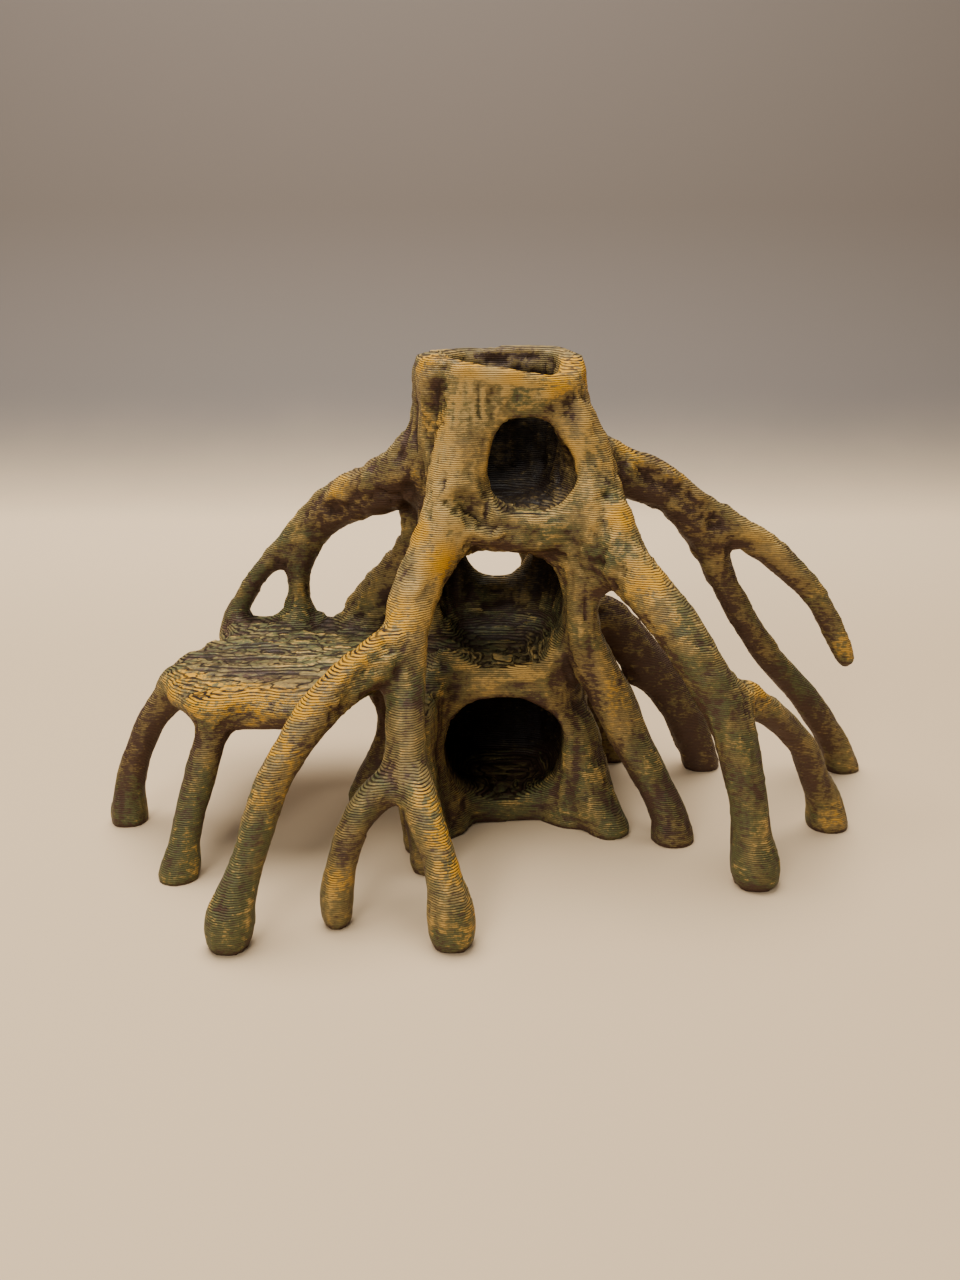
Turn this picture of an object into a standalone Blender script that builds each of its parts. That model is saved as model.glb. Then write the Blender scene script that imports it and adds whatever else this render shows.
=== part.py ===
"""Mangrove root cave: a hollow trunk on arching prop roots, printed in one piece as a hide for a
small tank. Blender 4.5, metres, +Z up. The bottom of the box round it is centred on the origin.

The shape is drawn in millimetres from the trunk's axis: +X to the right, -Y to the front, z up
from the floor. The roots are tapered tubes, the trunk is a stack of rounded rings and the ledge is
a few rounded slabs. They are fused into one skin, softened so that every joint has a web, hollowed
by the chambers, cut off along the rim, and cut flat where the feet stand on the floor.
"""

import math

import bmesh
import bpy
from mathutils import Vector

MM = 0.001

NODE_NAME = "mangrove_root_cave"
WOOD_COLOUR = (0.36, 0.27, 0.13, 1.0)
WOOD_ROUGHNESS = 0.62

# The skin: how fine it is fused, how far its joints are softened, how many faces are kept.
FUSE_VOXEL = 0.85 * MM
WEB_SMOOTHING = 9
RIM_SMOOTHING = 4
BURR_HEIGHT = 0.5 * MM
BURR_SPACING = 11.0 * MM
KEPT_FACES = 0.07
# Softening thins a tube by about this many square millimetres over its radius.
SMOOTHING_LOSS = 1.1
# Edges sharper than this are shaded as edges: the rim of each foot's flat sole.
SHARP_EDGE_DEGREES = 50.0

# The block that cuts the feet flat at the floor.
FLOOR_CUTTER_WIDTH = 200.0 * MM
FLOOR_CUTTER_DEPTH = 20.0 * MM

TRUNK_SIDES = 48
TRUNK_SQUARENESS = 2.9
FLUTES = 7
FLUTE_DEPTH = 0.35

# Trunk rings from the floor up: height, centre x, centre y, half width, half depth.
TRUNK_RINGS = [
    (-2.0, 0.4, 0.8, 15.5, 13.4),
    (4.0, 0.4, 0.4, 15.6, 13.8),
    (15.0, 0.4, -0.2, 15.8, 14.6),
    (30.0, 0.4, -0.4, 16.4, 15.0),
    (42.0, 0.4, -0.3, 16.0, 15.0),
    (52.0, 0.6, 0.0, 16.0, 14.4),
    (62.0, 0.6, 0.2, 15.8, 13.6),
    (72.0, 0.0, 0.0, 16.0, 13.0),
    (79.0, -0.1, -0.2, 15.6, 12.8),
    (87.0, -0.3, -0.4, 14.8, 12.5),
    (95.0, -0.4, -0.5, 14.6, 12.4),
]
# The rim climbs a little to the right and dips from the back to the front's right corner.
RIM_HEIGHT = 86.7
RIM_CLIMB = 0.04
RIM_DIP = 3.8
RIM_DIP_LEFT = -8.5
RIM_DIP_RIGHT = 10.0
RIM_DIP_FRONT = -12.0
RIM_DIP_BACK = 10.0
# The block whose underside cuts the trunk off along the rim.
RIM_CUTTER_HALF_WIDTH = 22.0
RIM_CUTTER_STEPS = 11
RIM_CUTTER_TOP = 105.0

# Every root is a list of x, y, z and radius, from the trunk to the foot or tip.
ROOTS = {
    "front_left_rib": [
        (-7.0, -8.5, 84.0, 4.6),
        (-7.0, -9.0, 76.0, 5.0),
        (-7.0, -10.5, 69.5, 5.2),
        (-8.0, -12.0, 64.5, 5.2),
        (-9.5, -14.5, 59.5, 4.8),
        (-12.5, -18.0, 53.0, 4.2),
        (-15.5, -22.5, 47.0, 3.8),
        (-16.5, -26.0, 42.5, 3.9),
        (-16.5, -31.0, 35.5, 3.5),
        (-16.5, -35.0, 30.0, 3.3),
        (-16.0, -38.5, 24.0, 3.5),
        (-15.5, -40.0, 20.0, 3.6),
    ],
    "front_left_inner_leg": [
        (-16.0, -38.5, 23.0, 3.4),
        (-14.0, -43.5, 20.5, 3.0),
        (-12.5, -47.5, 17.5, 2.7),
        (-10.5, -50.5, 13.5, 2.5),
        (-9.5, -53.0, 9.5, 2.8),
        (-8.5, -54.5, 5.0, 3.8),
        (-8.2, -55.0, -0.6, 3.0),
    ],
    "front_left_outer_leg": [
        (-16.0, -38.0, 22.0, 3.2),
        (-21.5, -43.5, 19.5, 2.6),
        (-24.5, -46.5, 15.5, 2.3),
        (-26.0, -47.5, 11.0, 2.3),
        (-27.0, -48.5, 5.0, 2.6),
        (-27.3, -49.0, -0.6, 2.0),
    ],
    "front_left_back_leg": [
        (-16.0, -27.5, 29.0, 4.0),
        (-15.5, -28.5, 18.0, 3.5),
        (-14.0, -30.0, 10.0, 3.2),
        (-12.5, -30.5, -2.0, 3.0),
    ],
    "front_left_outer_web": [
        (-15.5, -22.0, 29.0, 3.8),
        (-15.5, -22.0, 15.0, 3.6),
        (-13.5, -23.0, -2.0, 3.6),
    ],
    "front_left_inner_web": [
        (-15.0, -15.5, 29.0, 4.2),
        (-15.0, -16.0, 15.0, 4.0),
        (-12.5, -17.5, -2.0, 4.0),
    ],
    "left_toe": [
        (-12.0, -12.0, 31.0, 3.8),
        (-12.5, -12.5, 15.0, 3.8),
        (-11.5, -14.0, 6.0, 4.0),
        (-10.5, -15.5, -2.0, 4.8),
    ],
    "front_lintel": [
        (-10.0, -14.0, 60.0, 4.0),
        (-4.0, -15.0, 58.2, 3.4),
        (4.0, -15.0, 57.8, 3.4),
        (12.0, -14.5, 58.5, 3.8),
        (17.0, -15.0, 59.0, 4.0),
    ],
    "front_right_web": [
        (13.5, -13.0, 57.0, 4.2),
        (17.5, -15.0, 52.5, 3.8),
        (19.5, -17.0, 47.6, 3.3),
    ],
    "left_sweeping_root": [
        (-16.0, -25.0, 42.0, 3.8),
        (-21.0, -32.0, 39.5, 3.6),
        (-24.0, -35.0, 38.0, 3.4),
        (-27.0, -38.0, 36.5, 3.2),
        (-30.0, -41.0, 34.0, 3.1),
        (-32.5, -44.0, 31.0, 2.9),
        (-36.0, -47.5, 26.0, 2.7),
        (-38.5, -50.5, 19.5, 2.5),
        (-40.5, -52.5, 13.5, 2.4),
        (-42.3, -54.2, 8.0, 3.1),
        (-43.2, -55.1, 4.0, 4.1),
        (-43.6, -55.5, -0.6, 3.0),
    ],
    "ledge_front_leg": [
        (-44.0, -20.0, 29.5, 3.6),
        (-49.5, -25.5, 27.0, 3.0),
        (-51.5, -27.5, 21.5, 2.6),
        (-53.5, -30.0, 14.5, 2.4),
        (-55.5, -32.5, 6.5, 2.5),
        (-57.0, -34.0, -2.0, 3.5),
    ],
    "ledge_front_lip": [
        (-49.0, -25.5, 27.5, 2.6),
        (-42.0, -25.8, 27.6, 2.7),
        (-34.0, -26.0, 27.8, 2.9),
    ],
    "ledge_left_leg": [
        (-54.0, -11.0, 29.0, 3.4),
        (-60.5, -13.0, 26.0, 2.8),
        (-65.0, -13.0, 21.0, 2.4),
        (-67.5, -12.5, 16.0, 2.3),
        (-70.0, -12.0, 9.5, 2.6),
        (-71.5, -12.0, -2.0, 3.4),
    ],
    "under_ledge_root": [
        (-22.0, -3.0, 29.5, 6.5),
        (-21.5, -3.0, 26.0, 5.4),
        (-20.0, -3.0, 20.0, 3.8),
        (-21.5, -3.0, 13.0, 2.9),
        (-25.0, -3.0, 6.0, 2.6),
        (-28.0, -3.0, -2.0, 2.8),
    ],
    "upper_left_root": [
        (-5.0, -2.0, 74.0, 5.5),
        (-14.0, -1.0, 68.0, 6.2),
        (-19.0, 2.0, 64.0, 5.2),
        (-24.0, 5.0, 61.0, 4.7),
        (-30.5, 9.5, 57.5, 4.2),
        (-37.0, 13.0, 52.0, 3.7),
        (-40.0, 14.0, 48.0, 3.0),
    ],
    "upper_left_outer_fork": [
        (-38.0, 13.0, 52.0, 2.6),
        (-41.5, 14.0, 49.0, 2.1),
        (-45.0, 14.5, 45.5, 1.8),
        (-49.0, 15.0, 41.0, 1.6),
        (-52.0, 16.0, 36.5, 1.6),
        (-54.0, 16.5, 33.0, 1.9),
        (-55.0, 16.0, 28.5, 2.8),
    ],
    "upper_left_inner_fork": [
        (-37.5, 13.0, 51.5, 3.4),
        (-39.5, 13.5, 45.5, 2.6),
        (-40.5, 14.0, 40.5, 2.2),
        (-40.5, 14.0, 36.0, 2.4),
        (-40.5, 13.5, 32.0, 4.2),
        (-40.0, 13.0, 29.0, 5.0),
    ],
    "back_left_rib": [
        (-8.0, 5.0, 72.0, 5.0),
        (-13.0, 6.0, 63.0, 4.4),
        (-15.5, 6.0, 57.5, 3.2),
        (-16.0, 6.5, 52.5, 2.9),
        (-17.5, 8.0, 48.5, 2.9),
        (-20.5, 10.0, 43.5, 3.4),
        (-23.5, 13.0, 38.5, 4.4),
        (-26.0, 15.0, 33.0, 5.6),
        (-27.0, 15.0, 30.0, 5.6),
    ],
    "front_right_rib": [
        (6.0, -11.0, 62.0, 4.0),
        (12.5, -13.5, 56.0, 4.0),
        (14.5, -14.0, 51.0, 3.6),
        (14.0, -14.5, 45.0, 3.2),
        (15.0, -14.5, 37.5, 3.3),
        (17.5, -14.0, 31.5, 3.8),
        (20.5, -14.0, 25.5, 4.0),
        (23.5, -15.0, 19.0, 3.7),
        (26.5, -16.5, 13.5, 3.4),
        (29.5, -18.0, 8.0, 3.2),
        (31.5, -19.5, 3.0, 3.5),
        (32.0, -20.0, -2.0, 4.0),
    ],
    "front_right_root": [
        (9.0, -10.0, 66.0, 5.0),
        (17.5, -15.5, 59.0, 4.7),
        (21.6, -20.0, 52.6, 4.2),
        (25.6, -24.4, 47.8, 4.0),
        (29.5, -28.0, 43.5, 4.0),
        (32.5, -30.5, 39.0, 3.8),
        (36.0, -31.5, 33.5, 3.8),
        (39.0, -32.5, 27.0, 3.6),
        (40.5, -33.5, 21.0, 3.5),
        (42.0, -34.5, 14.5, 3.2),
        (42.7, -35.1, 8.0, 3.4),
        (43.5, -35.8, 4.0, 4.3),
        (43.9, -36.0, -0.6, 3.5),
    ],
    "front_right_shoulder": [
        (11.5, -7.5, 77.0, 4.5),
        (14.0, -8.5, 70.0, 4.9),
        (16.0, -10.5, 63.5, 5.1),
        (18.5, -15.0, 57.5, 4.8),
    ],
    "front_right_fork": [
        (37.0, -31.0, 32.0, 3.2),
        (41.5, -28.0, 31.0, 2.9),
        (46.5, -24.5, 27.5, 2.5),
        (51.0, -21.0, 23.0, 2.2),
        (55.0, -18.5, 18.0, 2.2),
        (58.0, -16.5, 11.5, 2.5),
        (61.0, -14.5, 5.5, 3.2),
        (62.5, -14.0, -2.0, 4.0),
    ],
    "upper_right_root": [
        (8.0, -5.0, 73.0, 5.6),
        (15.0, -4.0, 69.0, 5.2),
        (21.0, -2.5, 66.0, 4.7),
        (27.5, -1.0, 63.5, 4.3),
        (33.0, 0.0, 60.0, 4.0),
        (37.5, 1.0, 55.0, 3.9),
    ],
    "upper_right_free_fork": [
        (34.5, 0.5, 58.5, 3.6),
        (40.0, 1.0, 56.0, 2.9),
        (44.5, 1.0, 54.0, 2.5),
        (50.0, 1.5, 50.5, 2.6),
        (55.0, 1.5, 46.5, 2.5),
        (59.5, 1.5, 42.0, 2.2),
        (63.0, 2.0, 37.0, 2.0),
        (66.0, 2.0, 31.5, 1.6),
        (68.5, 2.0, 26.5, 1.0),
    ],
    "upper_right_long_fork": [
        (36.5, 1.0, 57.0, 3.8),
        (40.5, 2.0, 48.5, 2.9),
        (44.5, 3.0, 40.5, 2.4),
        (48.5, 4.0, 34.0, 2.3),
        (53.5, 6.0, 27.0, 2.5),
        (59.0, 7.5, 21.0, 2.6),
        (64.0, 9.0, 15.0, 2.7),
        (68.0, 10.5, 9.0, 2.8),
        (71.0, 11.5, 4.0, 3.2),
        (73.0, 12.0, -2.0, 3.6),
    ],
    "right_toe": [
        (12.0, -8.0, 20.0, 5.4),
        (15.0, -10.5, 11.0, 5.2),
        (18.0, -14.0, 4.0, 4.4),
        (22.0, -18.5, -1.0, 3.2),
    ],
    "right_toe_web": [
        (10.0, -8.5, 8.0, 5.0),
        (12.0, -10.5, 3.0, 4.4),
        (14.5, -12.5, -2.0, 4.2),
    ],
    "back_right_root": [
        (8.0, 6.0, 40.0, 5.0),
        (16.0, 7.5, 37.0, 4.5),
        (22.0, 8.0, 33.5, 4.4),
        (27.0, 9.5, 27.5, 4.2),
        (31.5, 10.5, 22.5, 4.2),
        (36.5, 11.5, 15.5, 4.0),
        (40.0, 12.5, 8.5, 3.9),
        (42.0, 13.0, 3.0, 3.6),
        (43.5, 13.5, -2.0, 3.7),
    ],
    "back_right_spur": [
        (30.0, 10.0, 25.0, 2.6),
        (27.5, 9.5, 22.0, 2.0),
        (26.0, 9.5, 20.0, 1.4),
    ],
    "back_right_low_root": [
        (10.0, 8.0, 26.0, 5.0),
        (18.0, 13.0, 18.0, 4.0),
        (22.5, 16.5, 9.0, 3.2),
        (24.5, 18.0, -2.0, 3.6),
    ],
    "back_centre_root": [
        (4.0, 8.0, 68.0, 5.0),
        (6.5, 16.0, 61.0, 4.6),
        (7.5, 22.5, 52.0, 3.8),
        (8.0, 27.0, 42.0, 3.3),
        (9.5, 32.0, 30.0, 3.1),
        (11.5, 36.5, 19.0, 2.8),
        (13.5, 39.5, 9.0, 2.8),
        (14.5, 41.0, -2.0, 3.7),
    ],
    "back_centre_fork": [
        (8.5, 29.0, 37.0, 3.2),
        (3.0, 33.5, 30.0, 2.7),
        (-2.0, 37.5, 20.0, 2.5),
        (-5.5, 41.0, 9.0, 2.6),
        (-7.0, 42.5, -2.0, 3.5),
    ],
    "back_left_root": [
        (-6.0, 8.0, 34.0, 5.0),
        (-12.0, 16.0, 27.0, 4.2),
        (-17.0, 22.5, 18.0, 3.3),
        (-20.5, 27.0, 9.0, 2.9),
        (-22.0, 28.5, -2.0, 3.8),
    ],
}

# The ledge: its outline from above, and the slabs of that outline that lie in each other. Softening
# turns their steps into a top that rolls down to its edge.
LEDGE_OUTLINE = [
    (-4.0, -12.0),
    (-14.0, -11.0),
    (-22.0, -15.0),
    (-28.0, -24.0),
    (-36.0, -30.0),
    (-44.0, -28.0),
    (-50.0, -29.5),
    (-56.0, -25.0),
    (-61.5, -16.0),
    (-63.0, -11.0),
    (-61.5, -7.0),
    (-58.5, -0.5),
    (-55.5, 5.0),
    (-56.5, 15.0),
    (-52.0, 18.5),
    (-45.0, 17.5),
    (-38.0, 19.5),
    (-30.0, 20.0),
    (-22.0, 17.0),
    (-8.0, 12.0),
]
LEDGE_MIDDLE = (-38.0, -4.0)
LEDGE_UNDERSIDE = 26.9
LEDGE_EDGE_ROUNDING = 1.4
# Each slab's share of the outline's size, and its top.
LEDGE_SLABS = [
    (1.02, 30.4),
    (0.95, 31.5),
    (0.87, 32.3),
]

# Hollows: centre, half sizes and squareness. A mouth is a hollow that runs out through a wall.
HOLLOWS = {
    "lower_chamber": ((0.4, -0.5, 15.4), (12.4, 11.4, 10.6), 3.0),
    "lower_mouth": ((0.5, -12.0, 15.4), (11.4, 14.0, 10.6), 2.3),
    "middle_chamber": ((-0.4, -0.5, 43.2), (12.4, 11.8, 11.2), 3.0),
    "middle_mouth": ((-0.3, -12.0, 42.7), (11.9, 14.0, 11.0), 2.6),
    "ledge_mouth": ((-17.0, -5.5, 42.4), (14.0, 8.6, 10.4), 2.8),
    "back_window": ((-0.4, 14.0, 49.5), (6.8, 9.0, 8.0), 2.2),
    "upper_chamber": ((0.2, -0.6, 70.6), (10.4, 9.4, 10.2), 3.0),
    "upper_mouth": ((5.3, -10.0, 67.0), (8.2, 12.0, 6.8), 2.2),
    "upper_mouth_crown": ((4.2, -10.0, 70.2), (6.4, 12.0, 6.6), 2.1),
    "chimney": ((0.6, -0.8, 84.0), (9.6, 9.4, 16.0), 4.0),
}


def clear_scene():
    for obj in list(bpy.data.objects):
        bpy.data.objects.remove(obj, do_unlink=True)


def add_object(name, data):
    obj = bpy.data.objects.new(name, data)
    bpy.context.scene.collection.objects.link(obj)
    return obj


def rounded_unit(value, power):
    """A sine or cosine pulled towards a square by the power."""
    return math.copysign(abs(value) ** (2.0 / power), value)


def share_between(start, end, value):
    """How far the value has come from start to end, from 0 to 1."""
    return min(1.0, max(0.0, (value - start) / (end - start)))


def rim_height_at(x, y):
    """The rim's height at a point of it, in millimetres."""
    along = share_between(RIM_DIP_LEFT, RIM_DIP_RIGHT, x)
    front = share_between(RIM_DIP_BACK, RIM_DIP_FRONT, y)
    return RIM_HEIGHT + RIM_CLIMB * x - RIM_DIP * along * front


def add_trunk(bm):
    rings = []
    for z, cx, cy, half_width, half_depth in TRUNK_RINGS:
        ring = []
        for side in range(TRUNK_SIDES):
            angle = 2.0 * math.pi * side / TRUNK_SIDES
            flute = 1.0 + FLUTE_DEPTH / half_width * math.cos(FLUTES * angle + 0.05 * z)
            x = cx + half_width * flute * rounded_unit(math.cos(angle), TRUNK_SQUARENESS)
            y = cy + half_depth * flute * rounded_unit(math.sin(angle), TRUNK_SQUARENESS)
            ring.append(bm.verts.new(Vector((x, y, z)) * MM))
        rings.append(ring)
    for lower, upper in zip(rings, rings[1:]):
        for side in range(TRUNK_SIDES):
            after = (side + 1) % TRUNK_SIDES
            bm.faces.new((lower[side], lower[after], upper[after], upper[side]))
    bm.faces.new(reversed(rings[0]))
    bm.faces.new(rings[-1])


def roots_mesh():
    """All roots as one curve's tubes: a point's radius is its root's radius in millimetres."""
    curve = bpy.data.curves.new("roots", "CURVE")
    curve.dimensions = "3D"
    curve.bevel_depth = MM
    curve.bevel_resolution = 4
    curve.resolution_u = 10
    curve.use_fill_caps = True
    for points in ROOTS.values():
        spline = curve.splines.new("BEZIER")
        spline.bezier_points.add(len(points) - 1)
        for knot, (x, y, z, radius) in zip(spline.bezier_points, points):
            knot.co = Vector((x, y, z)) * MM
            knot.radius = radius + SMOOTHING_LOSS / radius
            knot.handle_left_type = "AUTO"
            knot.handle_right_type = "AUTO"
    return mesh_of_curve(curve)


def ledge_slab_mesh(share, top):
    """A slab of the ledge: its filled outline with thickness and a rounded edge."""
    middle_x, middle_y = LEDGE_MIDDLE
    curve = bpy.data.curves.new("ledge", "CURVE")
    curve.dimensions = "2D"
    curve.fill_mode = "BOTH"
    curve.extrude = ((top - LEDGE_UNDERSIDE) / 2.0 - LEDGE_EDGE_ROUNDING) * MM
    curve.bevel_depth = LEDGE_EDGE_ROUNDING * MM
    curve.offset = -LEDGE_EDGE_ROUNDING * MM
    curve.bevel_resolution = 4
    curve.resolution_u = 6
    spline = curve.splines.new("BEZIER")
    spline.use_cyclic_u = True
    spline.bezier_points.add(len(LEDGE_OUTLINE) - 1)
    for knot, (x, y) in zip(spline.bezier_points, LEDGE_OUTLINE):
        across = middle_x + share * (x - middle_x)
        knot.co = Vector((across, middle_y + share * (y - middle_y), 0.0)) * MM
        knot.handle_left_type = "AUTO"
        knot.handle_right_type = "AUTO"
    mesh = mesh_of_curve(curve)
    for vertex in mesh.vertices:
        vertex.co.z += (top + LEDGE_UNDERSIDE) / 2.0 * MM
    return mesh


def mesh_of_curve(curve):
    """The curve's evaluated surface as a mesh."""
    helper = add_object(curve.name, curve)
    graph = bpy.context.evaluated_depsgraph_get()
    mesh = bpy.data.meshes.new_from_object(helper.evaluated_get(graph))
    bpy.data.objects.remove(helper, do_unlink=True)
    return mesh


def add_hollow(bm, centre, half_sizes, squareness):
    made = bmesh.ops.create_uvsphere(bm, u_segments=32, v_segments=20, radius=1.0)
    for vertex in made["verts"]:
        share = [rounded_unit(c, squareness) for c in vertex.co]
        longest = max(1e-6, sum(abs(c) ** squareness for c in share) ** (1.0 / squareness))
        vertex.co = Vector(
            [(c + half * s / longest) * MM for c, half, s in zip(centre, half_sizes, share)]
        )


def add_remesh(obj, voxel):
    remesh = obj.modifiers.new("fuse", "REMESH")
    remesh.mode = "VOXEL"
    remesh.voxel_size = voxel
    remesh.use_smooth_shade = True


def add_smooth(obj, times):
    smooth = obj.modifiers.new("soften", "SMOOTH")
    smooth.factor = 0.5
    smooth.iterations = times


def add_boolean(obj, other, operation, solver):
    boolean = obj.modifiers.new("cut", "BOOLEAN")
    boolean.object = other
    boolean.operation = operation
    boolean.solver = solver


def make_helper(obj):
    obj.hide_render = True
    obj.display_type = "WIRE"


def make_hollows():
    bm = bmesh.new()
    for centre, half_sizes, squareness in HOLLOWS.values():
        add_hollow(bm, centre, half_sizes, squareness)
    mesh = bpy.data.meshes.new("hollows")
    bm.to_mesh(mesh)
    bm.free()
    obj = add_object("hollows", mesh)
    add_remesh(obj, FUSE_VOXEL)
    add_smooth(obj, WEB_SMOOTHING)
    make_helper(obj)
    return obj


def make_rim_cutter():
    """A block whose underside is the rim, as wide as the trunk and clear of the roots."""
    bm = bmesh.new()
    bmesh.ops.create_grid(bm, x_segments=RIM_CUTTER_STEPS, y_segments=RIM_CUTTER_STEPS, size=1.0)
    for vertex in bm.verts:
        x, y = vertex.co.x * RIM_CUTTER_HALF_WIDTH, vertex.co.y * RIM_CUTTER_HALF_WIDTH
        vertex.co = Vector((x, y, rim_height_at(x, y))) * MM
    made = bmesh.ops.extrude_face_region(bm, geom=bm.faces[:], use_keep_orig=True)
    for item in made["geom"]:
        if isinstance(item, bmesh.types.BMVert):
            item.co.z = RIM_CUTTER_TOP * MM
    bmesh.ops.recalc_face_normals(bm, faces=bm.faces[:])
    mesh = bpy.data.meshes.new("rim_cutter")
    bm.to_mesh(mesh)
    bm.free()
    obj = add_object("rim_cutter", mesh)
    make_helper(obj)
    return obj


def make_floor_cutter():
    """A block whose top is the floor, wide enough to pass under every foot."""
    bm = bmesh.new()
    bmesh.ops.create_cube(bm, size=1.0)
    for vertex in bm.verts:
        vertex.co.x *= FLOOR_CUTTER_WIDTH
        vertex.co.y *= FLOOR_CUTTER_WIDTH
        vertex.co.z = (vertex.co.z - 0.5) * FLOOR_CUTTER_DEPTH
    mesh = bpy.data.meshes.new("floor_cutter")
    bm.to_mesh(mesh)
    bm.free()
    obj = add_object("floor_cutter", mesh)
    make_helper(obj)
    return obj


def make_wood():
    bm = bmesh.new()
    add_trunk(bm)
    slabs = [ledge_slab_mesh(share, top) for share, top in LEDGE_SLABS]
    for mesh in [roots_mesh()] + slabs:
        bm.from_mesh(mesh)
        bpy.data.meshes.remove(mesh)
    mesh = bpy.data.meshes.new(NODE_NAME)
    bm.to_mesh(mesh)
    bm.free()
    return add_object(NODE_NAME, mesh)


def add_burrs(obj):
    """Broad shallow swellings, as on real roots."""
    clouds = bpy.data.textures.new("burrs", "CLOUDS")
    clouds.noise_scale = BURR_SPACING
    clouds.noise_depth = 1
    displace = obj.modifiers.new("burrs", "DISPLACE")
    displace.texture = clouds
    displace.texture_coords = "LOCAL"
    displace.strength = BURR_HEIGHT
    displace.mid_level = 0.5


def add_decimate(obj):
    decimate = obj.modifiers.new("fewer_faces", "DECIMATE")
    decimate.ratio = KEPT_FACES
    decimate.use_collapse_triangulate = True


def apply_modifiers(obj):
    graph = bpy.context.evaluated_depsgraph_get()
    mesh = bpy.data.meshes.new_from_object(obj.evaluated_get(graph))
    obj.modifiers.clear()
    obj.data = mesh


def centre_on_origin(obj):
    points = [vertex.co.copy() for vertex in obj.data.vertices]
    middle = [(min(p[k] for p in points) + max(p[k] for p in points)) / 2.0 for k in (0, 1)]
    for vertex in obj.data.vertices:
        vertex.co.x -= middle[0]
        vertex.co.y -= middle[1]


def wood_material():
    material = bpy.data.materials.new("printed_root")
    material.use_nodes = True
    shader = material.node_tree.nodes["Principled BSDF"]
    shader.inputs["Base Color"].default_value = WOOD_COLOUR
    shader.inputs["Roughness"].default_value = WOOD_ROUGHNESS
    shader.inputs["Metallic"].default_value = 0.0
    return material


def main():
    clear_scene()
    wood = make_wood()
    add_remesh(wood, FUSE_VOXEL)
    add_smooth(wood, WEB_SMOOTHING)
    add_boolean(wood, make_hollows(), "DIFFERENCE", "EXACT")
    add_boolean(wood, make_rim_cutter(), "DIFFERENCE", "EXACT")
    add_remesh(wood, FUSE_VOXEL)
    add_smooth(wood, RIM_SMOOTHING)
    add_burrs(wood)
    add_decimate(wood)
    add_boolean(wood, make_floor_cutter(), "DIFFERENCE", "EXACT")
    apply_modifiers(wood)
    centre_on_origin(wood)
    wood.data.materials.clear()
    wood.data.materials.append(wood_material())
    wood.data.shade_smooth()
    wood.data.set_sharp_from_angle(angle=math.radians(SHARP_EDGE_DEGREES))


main()
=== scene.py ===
"""Looks of the mangrove root cave: one printed plastic skin with bark relief, print layers and
mottled ochre, olive and brown colour, on a pale sweep under soft light. Blender 4.5, metres, +Z up."""

import math

import bmesh
import bpy
import numpy as np
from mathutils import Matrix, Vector, noise


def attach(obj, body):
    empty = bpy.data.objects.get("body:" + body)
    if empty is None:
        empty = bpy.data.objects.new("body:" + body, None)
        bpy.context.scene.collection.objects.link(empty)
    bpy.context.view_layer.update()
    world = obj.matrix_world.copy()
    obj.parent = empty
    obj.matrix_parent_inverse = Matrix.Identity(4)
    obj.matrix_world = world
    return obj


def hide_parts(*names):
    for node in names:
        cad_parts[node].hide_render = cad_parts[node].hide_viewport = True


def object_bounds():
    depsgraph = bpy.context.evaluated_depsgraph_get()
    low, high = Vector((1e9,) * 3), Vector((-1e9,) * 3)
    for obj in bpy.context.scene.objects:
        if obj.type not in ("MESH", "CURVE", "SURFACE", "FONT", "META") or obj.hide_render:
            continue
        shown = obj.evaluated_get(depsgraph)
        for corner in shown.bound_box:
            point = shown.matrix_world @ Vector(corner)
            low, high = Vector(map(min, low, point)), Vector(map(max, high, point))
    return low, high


MM = 0.001

# The skin's mesh: how each facet is rounded and split, and how fine the even mesh is.
WELD_DISTANCE = 1e-6
FACET_ROUNDING = 0.75
FACET_SPLITS = 3
SKIN_VOXEL = 0.74 * MM

# Fairing: each round draws the points in and lets them out again, and does less of it at the rim.
FAIRING_ROUNDS = 16
FAIRING_STEPS = (0.55, -0.57)
RIM_FAIRING = 0.2
RIM_HEIGHTS = (79.0, 83.0)
SOLE_SNAP = 0.45 * MM

# The grain: out from this axis in millimetres and downwards, and how far it guides the form's own.
GRAIN_AXIS = (-0.2, 6.5)
GRAIN_FALL = 0.6
GRAIN_DROP = 6.0 * MM
GRAIN_ROUNDS = 26
GRAIN_GUIDE = 0.07
GRAIN_SHARPNESS = 8
LEAST_ALONG = 0.02

# The bark's relief: heights, spacings, and how many rounds smear the ridges and fibres with the grain.
LUMP_HEIGHT = 0.10 * MM
LUMP_SPACING = 5.0 * MM
RIDGE_HEIGHT = 0.24 * MM
RIDGE_SPACING = 2.6 * MM
RIDGE_SMEAR = 22
FIBRE_HEIGHT = 0.12 * MM
FIBRE_SMEAR = 14
CRUMPLE_HEIGHT = 0.13 * MM
CRUMPLE_SPACING = 2.0 * MM
FAR_OUTLIER = 2.2
RELIEF_SEED = 7
NOISE_SHIFT = (3.7, 1.9, 5.3)
NOISE_FALL = 0.9
NOISE_STEP = 2.0

# Pits: their reach in millimetres, and their raised lip, measured in reaches from the middle.
PIT_COUNT = 320
PIT_DEPTH = 0.38 * MM
PIT_REACH = (0.6, 1.5)
PIT_END = 3.0
PIT_LIP = 0.4
PIT_LIP_PLACE = 1.5
PIT_LIP_SHARPNESS = 3.0
PIT_LIMITS = (-1.2, 0.8)

# The relief's share on the legs, the trunk, the upper roots and inside the rim, in millimetres.
LEG_SHARE = 0.22
TRUNK_SHARE = 0.56
ROOT_SHARE = 0.92
RIM_SHARE = 2.0
LEG_HEIGHTS = (20.0, 40.0)
LEG_WAVER = 2.0
TRUNK_AXIS = (-0.5, 6.7)
ROOTS_BEYOND = (15.0, 20.0)
ROOTS_BEHIND = (-6.0, 0.0)
RIM_HOLLOW_WIDTHS = (10.6, 9.6)
RIM_HOLLOW_HEIGHTS = (73.0, 76.0)

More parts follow.
